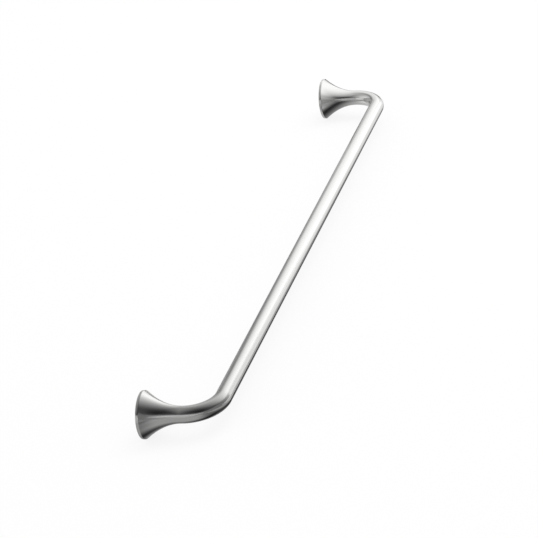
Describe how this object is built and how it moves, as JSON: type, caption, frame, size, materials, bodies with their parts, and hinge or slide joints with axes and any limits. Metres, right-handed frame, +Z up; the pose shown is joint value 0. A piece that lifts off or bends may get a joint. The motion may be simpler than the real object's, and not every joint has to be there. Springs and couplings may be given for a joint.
{
  "type": "cabinet handle",
  "caption": "Slim round bar pull for a cabinet door or drawer, its ends bent back into trumpet-shaped round feet that are tapped for screws from behind.",
  "frame": {"origin": "on the mounting plane, half-way between the two screw axes", "axes": "+X along the bar, +Y from the bar into the door or drawer front, so the bar stands out towards -Y, and +Z up on an upright front with the bar level"},
  "size_m": [0.3404, 0.0347, 0.0204],
  "materials": {
    "plated_metal": "cast zinc alloy, polished and bright plated, with a faint satin softness"
  },
  "bodies": {
    "root": {"pull_handle": "plated_metal"}
  },
  "joints": []
}
